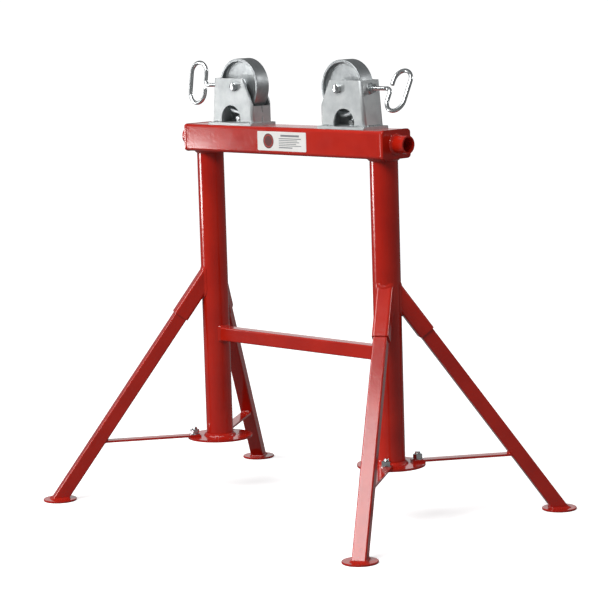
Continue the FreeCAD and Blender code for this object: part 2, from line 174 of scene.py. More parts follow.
# %% [markdown]
# ## Red enamel on steel
#
# The frame is sprayed with a gloss red enamel and baked. Up close such a coat is never flat: it dries with
# "orange peel", shallow dimples two or three millimetres apart, and the coat is thicker and deeper in colour
# in some places than in others. Real dimples are too fine to show at this distance, so the fine layer here
# is 4 mm apart and a coarser one of 7 mm joins it. Near the floor the paint is scuffed and a little dull.
#
# Enamel gives the eye a strong body colour with a clear, slightly soft highlight over it. That is a
# dielectric with a thin coat, so Metallic stays 0.

# %% Red enamel
ENAMEL = {"light": "#C5210E", "deep": "#B61B0C", "scuffed": "#7E2A20"}
CLOUD_SIZE, SCRATCH_SIZE, DULL_SIZE = 110 * MM, 6 * MM, 25 * MM
COARSE_PEEL, FINE_PEEL = (7 * MM, 0.35 * MM), (4 * MM, 0.2 * MM)        # (apart, height)
COARSE_STRENGTH = {"sheet": 0.5, "bead": 0.35}
SCUFF_FROM, SCUFF_TO = 2 * MM, 60 * MM          # heights between which the scuffing fades out


def red_enamel(name, bead=False):
    """The frame's paint. On a weld bead it lies thicker, so the dimples are softer."""
    material, tree, place = new_material(name)
    height = node(tree, "ShaderNodeSeparateXYZ", Vector=place).outputs[2]
    cloud = noise(tree, place, CLOUD_SIZE, 3.0)
    body = ramp(tree, cloud, 0.38, 0.62, [linear(ENAMEL["light"]), linear(ENAMEL["deep"])])
    near_floor = spread(tree, height, SCUFF_FROM, SCUFF_TO, 1.0, 0.0)
    scratches = spread(tree, noise(tree, place, SCRATCH_SIZE, 6.0, 0.7), 0.56, 0.66, 0.0, 1.0)
    scuff = math_node(tree, "MULTIPLY", near_floor, scratches)
    colour = ramp(tree, scuff, 0.0, 1.0, [body, linear(ENAMEL["scuffed"])])
    dull = spread(tree, noise(tree, place, DULL_SIZE, 4.0), 0.3, 0.7, 0.13, 0.17)
    roughness = math_node(tree, "ADD", dull, math_node(tree, "MULTIPLY", scuff, 0.25))
    coarse_peel = node(tree, "ShaderNodeBump", Strength=COARSE_STRENGTH["bead" if bead else "sheet"],
                       Distance=COARSE_PEEL[1], Height=noise(tree, place, COARSE_PEEL[0], 2.0))
    fine_peel = node(tree, "ShaderNodeBump", Strength=0.6, Distance=FINE_PEEL[1],
                     Height=noise(tree, place, FINE_PEEL[0], 1.5), Normal=coarse_peel.outputs[0])
    shader = node(tree, "ShaderNodeBsdfPrincipled", Base_Color=colour, Roughness=roughness, IOR=1.5,
                  Coat_Weight=0.3, Coat_Roughness=0.08, Normal=fine_peel.outputs[0])
    return finished(material, shader)


enamel = red_enamel("gloss_red_enamel")
bead_enamel = red_enamel("red_enamel_over_weld", bead=True)
print("made", enamel.name, "and", bead_enamel.name)

# %% [markdown]
# ## Zinc plating
#
# The brackets and their base plates are hot-rolled sheet, pressed and then zinc plated. The plating copies
# the sheet's faint rolling texture and has a cloudy, satin look: patches a few centimetres across are a
# little darker where the bath was slower. It is a metal, so Metallic is 1 and the colour is the colour of
# its reflection. The fasteners and the handles are turned or drawn, which is much smoother, and so brighter.

# %% Zinc in two finishes
def plated_zinc(name, pale, dark, smooth, rough, cloud_size, grain):
    """Zinc plating from pale to dark in clouds, with roughness between smooth and rough."""
    material, tree, place = new_material(name)
    cloud = noise(tree, place, cloud_size, 4.0, 0.6)
    colour = ramp(tree, cloud, 0.35, 0.68, [linear(pale), linear(dark)])
    fine = noise(tree, place, grain, 3.0, 0.6)
    roughness = spread(tree, math_node(tree, "ADD", cloud, math_node(tree, "MULTIPLY", fine, 0.4)),
                       0.5, 0.9, smooth, rough)
    bump = node(tree, "ShaderNodeBump", Strength=0.35, Distance=0.05 * MM, Height=fine)
    shader = node(tree, "ShaderNodeBsdfPrincipled", Base_Color=colour, Metallic=1.0, Roughness=roughness,
                  Normal=bump.outputs[0])
    return finished(material, shader)


sheet_zinc = plated_zinc("satin_zinc_on_sheet", "#D0D3D3", "#C1C5C6", 0.5, 0.62, 30 * MM, 1.6 * MM)
bright_zinc = plated_zinc("bright_zinc_on_turned_steel", "#E6E8E8", "#BFC4C6", 0.14, 0.26, 12 * MM, 1.2 * MM)
weld_zinc = plated_zinc("zinc_over_weld", "#D3D7D7", "#8D9294", 0.3, 0.5, 5 * MM, 1.5 * MM)
bronze = plated_zinc("oiled_bronze", "#B98F56", "#8A6538", 0.28, 0.42, 6 * MM, 1.0 * MM)
black_oxide = plated_zinc("black_oxide_steel", "#4A4C4F", "#2C2D30", 0.36, 0.55, 14 * MM, 1.5 * MM)
print("made", sheet_zinc.name, bright_zinc.name, weld_zinc.name, bronze.name, black_oxide.name)

# %% [markdown]
# ## Turned steel
#
# Each roller is turned in a lathe, whose tool leaves a fine spiral: rings round the tread, and circles on
# the side faces. Both are one pattern if the distance along the axle is added to the distance from it. A
# real feed of 0.2 mm would not show here, so the rings are drawn 1.4 mm apart. The Mapping node brings the
# axle to the middle of the pattern.

# %% Turned steel for a roller
RING_PITCH = 1.4 * MM


def turned_steel(name, axle):
    """Lathe rings: a wave of (distance from the axle + distance along it), around axle."""
    material, tree, place = new_material(name)
    local = node(tree, "ShaderNodeMapping", Vector=place, Location=tuple(-axle)).outputs[0]
    across = node(tree, "ShaderNodeVectorMath", {"operation": "MULTIPLY"}, _0=local, _1=(1.0, 0.0, 1.0))
    radius = node(tree, "ShaderNodeVectorMath", {"operation": "LENGTH"}, _0=across.outputs[0]).outputs[1]
    along = node(tree, "ShaderNodeSeparateXYZ", Vector=local).outputs[1]
    turns = math_node(tree, "MULTIPLY", math_node(tree, "ADD", radius, along), 2 * math.pi / RING_PITCH)
    rings = math_node(tree, "SINE", turns)
    cloud = noise(tree, local, 16 * MM, 4.0, 0.6)
    colour = ramp(tree, cloud, 0.35, 0.7, [linear("#C0C4C5"), linear("#ABAFB1")])
    roughness = spread(tree, cloud, 0.3, 0.7, 0.4, 0.5)
    coarse = node(tree, "ShaderNodeBump", Strength=0.25, Distance=0.08 * MM, Height=rings)
    fine = node(tree, "ShaderNodeBump", Strength=0.2, Distance=0.05 * MM,
                Height=noise(tree, local, 1.5 * MM, 2.0), Normal=coarse.outputs[0])
    shader = node(tree, "ShaderNodeBsdfPrincipled", Base_Color=colour, Metallic=1.0, Roughness=roughness,
                  Normal=fine.outputs[0])
    return finished(material, shader)


roller_steel = {side: turned_steel(f"turned_steel_{side}", cad_centre(f"{side}_wheel")) for side in SIDES}
print("turned steel around", [list(np.round(cad_centre(f"{side}_wheel"), 3)) for side in SIDES])

# %% [markdown]
# ## The printed label
#
# A white vinyl film is stuck on the beam's front. The print here is plain: a dark red disc with a pale ring
# at the left, and grey rules where a real label has its lines of text. A shape in a material is a distance
# compared with a size: inside the disc is where the distance from its centre is under its radius, and
# inside a bar is where the distances from its middle are under its half length and half height.

# %% White film with a disc and rules
DISC_PLACE, DISC_RADIUS, RING_RADIUS, RING_HALF = 36 * MM, 17 * MM, 13.2 * MM, 1.1 * MM
# each rule's middle (x, z), half length and half height, in millimetres
RULES = [(106, 35, 30, 2.2), (106, 28.5, 36, 1.0), (100, 24.5, 30, 0.8), (103, 20.5, 33, 0.8),
         (98, 16.5, 28, 0.8), (106, 12.5, 36, 0.8), (92, 8.0, 22, 1.2)]


def label_print(name, low, high):
    """Print in the label's own plane: x along it and z up it, from its lower left corner."""
    material, tree, place = new_material(name)
    parts = node(tree, "ShaderNodeSeparateXYZ", Vector=place)
    x = math_node(tree, "SUBTRACT", parts.outputs[0], float(low[0]))
    z = math_node(tree, "SUBTRACT", parts.outputs[2], float(low[2]))

    def within(value, middle, half):
        """1 where value is no further than half from middle, 0 elsewhere."""
        return math_node(tree, "COMPARE", value, middle, half)

    def bar(middle_x, middle_z, half_x, half_z):
        return math_node(tree, "MULTIPLY", within(x, middle_x, half_x), within(z, middle_z, half_z))

    disc_z = float(high[2] - low[2]) / 2
    away = math_node(tree, "SQRT", math_node(
        tree, "ADD", math_node(tree, "POWER", math_node(tree, "SUBTRACT", x, DISC_PLACE), 2.0),
        math_node(tree, "POWER", math_node(tree, "SUBTRACT", z, disc_z), 2.0)))
    disc = math_node(tree, "LESS_THAN", away, DISC_RADIUS)
    ring = within(away, RING_RADIUS, RING_HALF)
    ink = bar(*(value * MM for value in RULES[0]))
    for rule in RULES[1:]:
        ink = math_node(tree, "MAXIMUM", ink, bar(*(value * MM for value in rule)))
    film = ramp(tree, noise(tree, place, 30 * MM, 2.0), 0.3, 0.7, [linear("#F4F3F0"), linear("#E9E7E2")])
    printed = ramp(tree, ink, 0.0, 1.0, [film, linear("#7C7F84")])
    printed = ramp(tree, disc, 0.0, 1.0, [printed, linear("#580F0B")])
    printed = ramp(tree, math_node(tree, "MULTIPLY", ring, disc), 0.0, 1.0, [printed, linear("#B3271A")])
    bump = node(tree, "ShaderNodeBump", Strength=0.2, Distance=0.1 * MM,
                Height=noise(tree, place, 5 * MM, 2.0))
    shader = node(tree, "ShaderNodeBsdfPrincipled", Base_Color=printed, Roughness=0.5, IOR=1.5,
                  Normal=bump.outputs[0])
    return finished(material, shader)


label_film = label_print("printed_vinyl_film", *cad_span("label"))
print("label is", np.round(np.ptp(cad_span("label"), axis=0) / MM, 1), "mm")

# %% [markdown]
# ## Finish the CAD parts
#
# Each CAD node carries the name of its material slot. Its mesh stays untouched: only the material in its
# slot is changed.

# %% Give every CAD node its finish
FINISHES = {"red_paint": enamel, "zinc_plate": sheet_zinc, "bright_hardware": bright_zinc, "bronze": bronze,
            "black_steel": black_oxide, "label_film": label_film}
for name, part in nodes.items():
    slot_name = part.material_slots[0].material.name.split(".")[0]
    side = name.split("_")[0]
    part.material_slots[0].material = FINISHES.get(slot_name) or roller_steel[side]
print("finished", len(nodes), "CAD nodes")

# %% [markdown]
# ## Surfaces from numbers
#
# New pieces below are grids: rows along the piece, columns round it, and a formula for each grid point.
# numpy works out all the points at once. Joining the last column to the first closes the tube, and a row
# whose points coincide closes an end. Merging such points and, if the volume comes out negative, flipping
# the faces leaves a closed piece that faces outwards.

# %% From grids to meshes
def grid_faces(rows, columns, wrap_rows):
    """Four-cornered faces between neighbouring points of a grid that wraps round its columns."""
    row = np.arange(rows if wrap_rows else rows - 1)[:, None]
    column = np.arange(columns)[None, :]
    next_row, next_column = (row + 1) % rows, (column + 1) % columns
    corners = [row * columns + column, row * columns + next_column,
               next_row * columns + next_column, next_row * columns + column]
    return np.stack(corners, axis=-1).reshape(-1, 4)


def signed_volume(points, faces):
    """A sixth of the sum of corner triple products, over each face's two triangles."""
    a, b, c, d = (points[faces[:, i]] for i in range(4))
    return float((a * np.cross(b, c)).sum() + (a * np.cross(c, d)).sum()) / 6


SAME_POINT = 0.002 * MM


def surface_piece(name, grids, material, body, stands_for=(), wrap_rows=False, sharp_from=35.0):
    """One object from closed tubes, each a (rows, columns, 3) array that wraps round its columns."""
    all_points, all_faces, count = [], [], 0
    for grid in grids:
        rows, columns, _ = grid.shape
        points = grid.reshape(-1, 3)
        faces = grid_faces(rows, columns, wrap_rows)
        if signed_volume(points - points.mean(0), faces) < 0:
            faces = faces[:, ::-1]
        all_points.append(points)
        all_faces.append(faces + count)
        count += len(points)
    mesh = bpy.data.meshes.new(name)
    mesh.from_pydata(np.concatenate(all_points).tolist(), [], np.concatenate(all_faces).tolist())
    work = bmesh.new()
    work.from_mesh(mesh)
    bmesh.ops.remove_doubles(work, verts=work.verts, dist=SAME_POINT)
    bmesh.ops.dissolve_degenerate(work, edges=work.edges, dist=SAME_POINT)
    work.to_mesh(mesh)
    work.free()
    mesh.validate()
    mesh.shade_smooth()
    mesh.set_sharp_from_angle(angle=math.radians(sharp_from))
    mesh.materials.append(material)
    piece = bpy.data.objects.new(name, mesh)
    bpy.context.scene.collection.objects.link(piece)
    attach(piece, body)
    if stands_for:
        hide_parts(*stands_for)
    return piece


print("a 4 by 6 tube has", len(grid_faces(4, 6, False)), "faces")

# %% [markdown]
# Most profiles and paths here are straight runs joined by arcs. It is easiest to write the corners down and
# to round them afterwards: the arc's centre lies on the corner's bisector, and its ends touch both runs.

# %% Rounded corners
def rounded(corners, radii, steps=8):
    """Swap each inner corner for an arc.

    Half the corner's angle is h. The centre is radius / sin h from the corner along the bisector, and the
    arc starts radius / tan h back along each run. Points between are a turn of the first spoke to the last.
    """
    corners = [np.array(corner, float) for corner in corners]
    points = [corners[0][None, :]]
    for before, corner, after, radius in zip(corners, corners[1:], corners[2:], radii):
        back = (before - corner) / np.linalg.norm(before - corner)
        on = (after - corner) / np.linalg.norm(after - corner)
        half = math.acos(np.clip(back @ on, -1, 1)) / 2
        centre = corner + (back + on) / np.linalg.norm(back + on) * radius / math.sin(half)
        start = corner + back * radius / math.tan(half) - centre
        end = corner + on * radius / math.tan(half) - centre
        sweep = math.pi - 2 * half
        share = np.linspace(0, 1, steps)[:, None]
        points.append(centre + (np.sin((1 - share) * sweep) * start + np.sin(share * sweep) * end)
                      / math.sin(sweep))
    points.append(corners[-1][None, :])
    return np.concatenate(points)


def along_line(points, stations):
    """Points at the given distances along a line of points, by straight interpolation."""
    steps = np.linalg.norm(np.diff(points, axis=0), axis=1)
    reached = np.concatenate([[0.0], np.cumsum(steps)])
    return np.stack([np.interp(stations, reached, points[:, i]) for i in range(points.shape[1])], axis=1)


def line_length(points):
    return float(np.linalg.norm(np.diff(points, axis=0), axis=1).sum())


print("a rounded square corner has", len(rounded([(0, 0), (1, 0), (1, 1)], [0.2])), "points")

# %% [markdown]
# ## Rollers
#
# A roller is a solid of revolution: a rim, a recessed web, and a hub with the bush pressed in. It could
# be a cylinder with pieces cut out, but a lathe makes it from one profile, and so does this: the profile's
# points are (distance from the axle, place along it), and carrying them round gives the surface.

# %% Turn the rollers
def millimetres(**sizes):
    """Named sizes in millimetres, turned into metres."""
    return {key: value * MM for key, value in sizes.items()}


def full_turn(steps):
    """Angles once round, the last one short of the first by one step."""
    return np.linspace(0, 2 * math.pi, steps, endpoint=False)


def around(base, height, radius, axis, across, angle):
    """Grid of base + height * axis + radius * (across cos angle + third sin angle), third = axis x across."""
    return (base + height[..., None] * axis + (radius * np.cos(angle))[..., None] * across
            + (radius * np.sin(angle))[..., None] * np.cross(axis, across))


WHEEL = millimetres(bore=8.5, hub=17.0, inner_rim=56.5, tread=63.5, half_web=10.5, half_rim=19.0,
                    half_hub=22.0, fillet=3.0, edge=1.5, bore_edge=0.6, hub_edge=0.8)
WHEEL_COLUMNS = 160


def wheel_profile():
    """Half the outline, from the bore's middle to the tread's, then the same mirrored and back."""
    places = [("bore", "half_hub"), ("hub", "half_hub"), ("hub", "half_web"), ("inner_rim", "half_web"),
              ("inner_rim", "half_rim"), ("tread", "half_rim")]
    corners = [(WHEEL["bore"], 0.0), *((WHEEL[radius], WHEEL[station]) for radius, station in places),
               (WHEEL["tread"], 0.0)]
    radii = [WHEEL[key] for key in ("bore_edge", "hub_edge", "fillet", "fillet", "edge", "edge")]
    half = rounded(corners, radii, 6)
    other = half[::-1][1:-1] * np.array([1.0, -1.0])
    return np.concatenate([half, other])


profile = wheel_profile()
for side in SIDES:
    grid = around(cad_centre(f"{side}_wheel"), -profile[:, 1:], profile[:, :1], -Y_WAY, X_WAY,
                  full_turn(WHEEL_COLUMNS))
    wheel = surface_piece(f"{side}_turned_wheel", [grid], roller_steel[side], f"{side}_roller",
                          [f"{side}_wheel"], wrap_rows=True)
    print(wheel.name, len(wheel.data.polygons), "faces, radius",
          round(float(np.ptp(grid[..., 2])) / 2 / MM, 2), "mm")

# %% [markdown]
# ## Threads
#
# A screw thread is a radius that changes with both the distance along the rod and the turn round it: going
# once round moves the crest on by one pitch. So the depth below the crest is a triangle wave of
# distance / pitch - turn / full turn, and it fades to nothing where the thread runs out.

# %% The thread's depth
ROWS_PER_PITCH = 7


def thread_depth(station, turn, start, end, pitch, depth):
    """Triangle wave from 0 at a crest to depth at a root, faded over one pitch at both ends."""
    phase = (station / pitch - turn / (2 * math.pi)) % 1.0
    fade = np.clip((station - start) / pitch, 0, 1) * np.clip((end - station) / pitch, 0, 1)
    return depth * fade * (1 - np.abs(2 * phase - 1))


print("root depth:", round(float(thread_depth(5.0, 0.0, 0.0, 10.0, 2.0, 1.0)), 2))

# %% [markdown]
# ## Brake screws and their handles
#
# One round rod makes both the screw and its handle. It is threaded where it passes through the nut, then
# bent up and round into a long loop that ends beside the bend. The rod's line is a list of corners, rounded,
# and the surface is a circle carried along it, thinner where the thread is cut. The line is flat, so its
# plane's normal serves as one side of the circle all the way, and nothing can twist.

# %% Sweep the brake screws
ROD = millimetres(radius=4.75, straight=61.0, bend=11.0, width=60.0, long_side=57.0, short_side=48.0,
                  free_end=8.0, bore=2.05, bore_depth=4.4, pitch=1.5875, thread_depth=0.62,
                  chamfer=0.8, row_step=1.3, thread_from_tip=2.5, thread_before_bend=6.0)
HANDLE_TURN = {"left": 8.0, "right": 207.0}     # degrees about the screw from straight up
NUT_HEIGHT = 9.5 * MM
HALF_STEP = 0.01 * MM                           # for the line's direction at a row
FULL_BEND = 0.99999                             # a hair under half the loop, so that arcs never share a point


def end_x(name, way):
    """x of the end of a CAD node that lies furthest towards way, 1 or -1."""
    low, high = cad_span(name)
    return high[0] if way > 0 else low[0]


def back_wall(side):
    """Where a brake screw's axis leaves its bracket's back wall: one nut's height in from the nut's end."""
    place = cad_centre(f"{side}_brake_nut")
    place[0] = end_x(f"{side}_brake_nut", SIDES[side]) - SIDES[side] * NUT_HEIGHT
    return place


def rod_rows(length, thread_end):
    """(Station, radius): close together on the thread, wider on the loop; the first line the tip's bore."""
    r, chamfer = ROD, ROD["chamfer"]
    bore = [(r["bore_depth"], 0.0), (r["bore_depth"], r["bore"]), (0.0, r["bore"]),
            (0.0, r["radius"] - chamfer), (chamfer, r["radius"])]
    threaded = np.arange(2 * chamfer, thread_end, r["pitch"] / ROWS_PER_PITCH)
    plain = np.arange(thread_end, length - 2 * chamfer, r["row_step"])
    return np.array([*bore, *((s, r["radius"]) for s in (*threaded, *plain)),
                     (length - chamfer, r["radius"]), (length, r["radius"] - chamfer), (length, 0.0)])


def brake_screw(side, columns=28):
    """Circle of the row's radius, less the thread's depth, in the plane across the line at that row."""
    r = ROD
    out = np.array([SIDES[side], 0.0, 0.0])
    turn = math.radians(HANDLE_TURN[side])
    bent = np.array([0.0, math.sin(turn), math.cos(turn)])
    tip = back_wall(side)
    tip[0] = end_x(f"{side}_brake_screw", -SIDES[side])
    start = back_wall(side) + out * r["straight"]
    loop_radius = r["width"] / 2 - r["radius"]
    far = 2 * loop_radius * out
    top, bottom = (r["long_side"] - r["radius"]) * bent, -(r["short_side"] - r["radius"]) * bent
    corners = [tip, start, start + top, start + far + top, start + far + bottom, start + bottom,
               start - r["free_end"] * bent]
    line = rounded(corners, [r["bend"]] + [loop_radius * FULL_BEND] * 4, 24)
    straight = float(np.linalg.norm(start - tip)) - r["bend"]
    rows = rod_rows(line_length(line), straight)
    centre = along_line(line, rows[:, 0])
    ahead = along_line(line, rows[:, 0] + HALF_STEP) - along_line(line, rows[:, 0] - HALF_STEP)
    ahead /= np.linalg.norm(ahead, axis=1, keepdims=True)
    normal = np.cross(out, bent)
    side_way = np.cross(ahead, normal)
    angle = full_turn(columns)[None, :]
    cut = thread_depth(rows[:, :1], angle, r["thread_from_tip"], straight - r["thread_before_bend"],
                       r["pitch"], r["thread_depth"])
    radius = rows[:, 1:] - cut * (rows[:, 1:] == r["radius"])
    return (centre[:, None, :] + (radius * np.cos(angle))[..., None] * normal
            + (radius * np.sin(angle))[..., None] * side_way[:, None, :])


for side in SIDES:
    screw = surface_piece(f"{side}_threaded_brake_screw", [brake_screw(side)], bright_zinc, f"{side}_screw",
                          [f"{side}_brake_screw"], sharp_from=60.0)
    reach = np.array([np.min(screw.bound_box, axis=0), np.max(screw.bound_box, axis=0)])
    miss = np.abs(reach - cad_span(f"{side}_brake_screw")).max()
    print(screw.name, len(screw.data.polygons), "faces, box within", round(miss / MM, 2), "mm of the CAD's")

# %% [markdown]
# ## Bolts
#
# A hexagon is also a radius that changes with the turn: across-flats / 2 divided by the cosine of the angle
# from the middle of the nearest flat. The chamfer on a bolt head is a cone, and the smaller of the two radii
# at each point gives the curved arcs where cone and flats meet. The shank is round, with a thread at its end.

# %% Make hex bolts
BOLT = millimetres(radius=6.35, flats=19.0, head=7.6, pitch=1.95, thread_depth=0.8, chamfer=1.0)
THREAD_SHARE = 0.55             # how much of the shank is threaded
TOP_SHARE = 0.475               # radius of the head's flat top, as a share of the width across flats
CONE_SLOPE = math.tan(math.radians(30))


def hex_bolt(length, seat, axis, across, columns=72):
    """Rows of (height, radius limit) from the head's top to the thread's end, along axis from seat."""
    b, chamfer = BOLT, BOLT["chamfer"]
    corner = b["flats"] / math.sqrt(3)
    flat = b["flats"] * TOP_SHARE
    drop = (corner - flat) * CONE_SLOPE
    cone = np.linspace(flat, corner, 8)
    head = [(b["head"], 0.0), *zip(b["head"] - (cone - flat) * CONE_SLOPE, cone),
            ((b["head"] - drop) / 2, corner), (0.0, corner)]
    start = length * (1 - THREAD_SHARE)
    threaded = np.arange(start, length - 1.5 * chamfer, b["pitch"] / ROWS_PER_PITCH)
    shank = [(0.0, b["radius"]), *((-s, b["radius"]) for s in threaded),
             (-length + chamfer, b["radius"]), (-length, b["radius"] - chamfer), (-length, 0.0)]
    rows = np.array([*head, *shank])
    angle = full_turn(columns)[None, :]
    sector = math.pi / 3
    hexagon = b["flats"] / 2 / np.cos((angle + sector / 2) % sector - sector / 2 + 0 * rows[:, :1])
    in_head = (np.arange(len(rows)) < len(head))[:, None]
    cut = thread_depth(-rows[:, :1], angle, start, length, b["pitch"], b["thread_depth"])
    plain = rows[:, 1:] - cut * (rows[:, 1:] == b["radius"])
    radius = np.where(in_head, np.minimum(hexagon, rows[:, 1:]), plain)
    return around(seat, rows[:, :1], radius, axis, across, angle)


for side in SIDES:
    for kind, way, index in (("axle", -Y_WAY, 1), ("clamp", -UP, 2)):
        low, high = cad_span(f"{side}_{kind}_bolt")
        seat = (low + high) / 2
        seat[index] = low[index] + BOLT["head"]
        grid = hex_bolt(high[index] - seat[index], seat, way, X_WAY)
        surface_piece(f"{side}_{kind}_hex_bolt", [grid], bright_zinc, f"{side}_head",
                      [f"{side}_{kind}_bolt"])
print("axle bolt is", round(float(np.ptp(cad_span("left_axle_bolt"), axis=0)[1]) / MM, 1), "mm over all")

# %% [markdown]
# Four studs stand in the column base plates and hold the braces' inner ends. Their places follow from the
# frame's plan: each lies on the line from a column to a foot. Only the part above the brace is threaded.

# %% Brace studs
STUD_REACH = 61.0 * MM


def leg_plan(side, face):
    """Column centre at floor level, and the level unit vector from it towards that corner's foot."""
    column = cad_centre(f"{side}_column") * [1, 1, 0]
    foot = cad_centre(f"{face}_{side}_foot") * [1, 1, 0]
    return column, (foot - column) / np.linalg.norm(foot - column)


def threaded_stud(base, length, thread_start, across, columns=72):
    """Upright rod on base: radius less the thread's depth from thread_start up to its chamfered end."""
    radius, pitch, depth, chamfer = (BOLT[key] for key in ("radius", "pitch", "thread_depth", "chamfer"))
    threaded = np.arange(thread_start, length - 1.5 * chamfer, pitch / ROWS_PER_PITCH)
    rows = np.array([(0.0, 0.0), (0.0, radius), *((s, radius) for s in threaded),
                     (length - chamfer, radius), (length, radius - chamfer), (length, 0.0)])
    angle = full_turn(columns)[None, :]
    cut = thread_depth(rows[:, :1], angle, thread_start, length, pitch, depth)
    reach = rows[:, 1:] - cut * (rows[:, 1:] == radius)
    return around(base, rows[:, :1], reach, UP, across, angle)


stud_low, stud_high = cad_span("brace_studs")
brace_top = cad_span("front_left_brace")[1][2]
stud_grids = []
for side in SIDES:
    for face in FACES:
        column, plan = leg_plan(side, face)
        stud_grids.append(threaded_stud(column + plan * STUD_REACH + UP * stud_low[2],
                                        stud_high[2] - stud_low[2], brace_top - stud_low[2], plan))
brace_studs = surface_piece("brace_threaded_studs", stud_grids, bright_zinc, "stand",
                            ["brace_studs"])
print(brace_studs.name, len(brace_studs.data.polygons), "faces")

# %% [markdown]
# ## Weld beads
#
# The frame is held together by arc welds, and they are what a plain CAD model lacks most. A fillet weld
# fills a corner: its section is a quarter of a rounded lens between two walls, and along it the metal froze
# in overlapping crescents a few millimetres apart. One function makes them all. It needs the corner's line
# and, at each point, the two directions that lead away from the corner along the two walls.

# %% One function for every fillet weld
# each kind of bead: its leg and the distance between its crescents, in millimetres, and its seed
WELDS = {"column_top": (5.5, 5.5, 1), "column_foot": (6.5, 5.5, 2), "stub": (4.0, 4.5, 3),
         "crossbar": (4.2, 5.0, 5), "left_socket": (4.6, 5.0, 6), "right_socket": (4.6, 5.0, 8),
         "foot": (4.2, 5.0, 11), "brace": (4.0, 4.5, 13), "end_cap": (3.4, 5.0, 17),
         "bracket_side": (3.2, 3.8, 19), "bracket_back": (3.2, 3.8, 23), "brake_nut": (2.4, 3.0, 29)}
LAG = 0.45                      # how far a crescent trails in the middle of the bead, in crescents
RIPPLE, RIPPLE_DROP = 0.13, 0.06    # a crescent's height over the bead, and how far its edge dips
SWELL, SWELL_WAVES = 0.09, (1, 2, 3, 5)
RUN_OUT = 1.2                   # legs over which an open end tapers
FLATNESS = 0.62                 # share of the flat chamfer in the section; the rest is round
SUNK, SPREAD = 0.22, 1.6        # the back: how far behind the walls, and how far out along them


def weld_grid(line, way_a, way_b, kind, closed=True, columns=9):
    """Section from wall a to wall b at each point of the line, and back under both walls.

    At turn q from 0 to 90 degrees the point is corner + size * f(q) * (a cos q + b sin q). f mixes a flat
    chamfer, 1 / (cos q + sin q), with a round one, 1. size is the leg times a crescent ripple along the
    line, lagging in the middle of the bead, times a slow swell, and shrinks to nothing at open ends.
    """
    leg, pitch, seed = WELDS[kind][0] * MM, WELDS[kind][1] * MM, WELDS[kind][2]
    random = np.random.default_rng(seed)
    steps = np.linalg.norm(np.diff(line, axis=0, append=line[:1] if closed else line[-1:]), axis=1)
    along = np.concatenate([[0.0], np.cumsum(steps[:-1])])
    total = along[-1] + (steps[-1] if closed else 0.0)
    ripples = max(3, round(total / pitch))
    turn = np.linspace(0, math.pi / 2, columns)[None, :]
    phase = along[:, None] / total * ripples + LAG * np.sin(2 * turn)
    ripple = 1 + RIPPLE * np.abs(np.sin(math.pi * phase)) - RIPPLE_DROP
    waves = sum(random.uniform(-0.5, 0.5) * np.sin(2 * math.pi * k * along / total + random.uniform(0, 6.3))
                for k in SWELL_WAVES)
    size = leg * ripple * (1 + SWELL * waves[:, None])
    if not closed:
        from_end = np.minimum(along, total - along)[:, None] / (RUN_OUT * leg)
        size = size * np.sqrt(np.clip(1 - (1 - np.clip(from_end, 0, 1)) ** 2, 0, 1))
    shape = FLATNESS / (np.cos(turn) + np.sin(turn)) + (1 - FLATNESS)
    at, a, b = line[:, None, :], way_a[:, None, :], way_b[:, None, :]
    face = at + (size * shape)[..., None] * (np.cos(turn)[..., None] * a + np.sin(turn)[..., None] * b)
    sunk = size[:, :1, None] * SUNK
    back = [at + sunk * (SPREAD * b - a), at - sunk * (a + b), at + sunk * (SPREAD * a - b)]
    return np.concatenate([face, *back], axis=1)


def weld_piece(name, grids, closed=True, material=bead_enamel, body="stand"):
    return surface_piece(name, grids, material, body, wrap_rows=closed, sharp_from=70.0)


def circle_line(centre, radius, first, second, points):
    """Points of a circle, and the unit spokes to them."""
    turn = full_turn(points)[:, None]
    spokes = np.cos(turn) * first + np.sin(turn) * second
    return centre + radius * spokes, spokes


def repeat(direction, like):
    """The same direction at every point of a line."""
    return np.broadcast_to(direction, like.shape)


print(len(WELDS), "kinds of bead, legs up to", max(leg for leg, _, _ in WELDS.values()), "mm")

# %% [markdown]
# Columns meet the beam's underside and the base plates along circles, and so do the tube stubs on the
# beam's end caps. There the two directions are the spoke of the circle and the tube's own axis.

# %% Round welds: columns and stubs
COLUMN_POINTS, STUB_POINTS = 280, 180
for side, way in SIDES.items():
    low, high = cad_span(f"{side}_column")
    middle = (low + high) / 2
    radius = float(high[0] - low[0]) / 2
    grids = []
    for z, axis, kind in ((high[2], -UP, "column_top"), (low[2], UP, "column_foot")):
        centre = np.array([middle[0], middle[1], z])
        line, spokes = circle_line(centre, radius, X_WAY, Y_WAY, COLUMN_POINTS)
        grids.append(weld_grid(line, spokes, repeat(axis, line), kind))
    low, high = cad_span(f"{side}_beam_stub")
    root = (low + high) / 2
    root[0] = end_x(f"{side}_beam_stub", -way)
    line, spokes = circle_line(root, float(high[1] - low[1]) / 2, Y_WAY, UP, STUB_POINTS)
    grids.append(weld_grid(line, spokes, repeat(way * X_WAY, line), "stub"))
    made = weld_piece(f"{side}_round_welds", grids)
    print(made.name, len(made.data.polygons), "faces")

# %% [markdown]
# A square tube meets a round column along a saddle-shaped line. It is the tube's outline, each point of it
# slid along the tube until it is as far from the column's axis as the column's radius. That is a quadratic:
# |start + t * direction| = radius in plan, and its larger root is the wanted one.

# %% Saddle welds: crossbar and leg sockets
LEG_SLOPE = math.radians(54.2)
# each square tube's half width and corner radius
LEG, SOCKET, CROSSBAR = (15.875 * MM, 3.2 * MM), (19.05 * MM, 6.2 * MM), (15.875 * MM, 3.2 * MM)
SADDLE_POINTS, FOOT_POINTS = 300, 260
PROUD = 0.1 * MM                # a saddle's line stands this far off the column


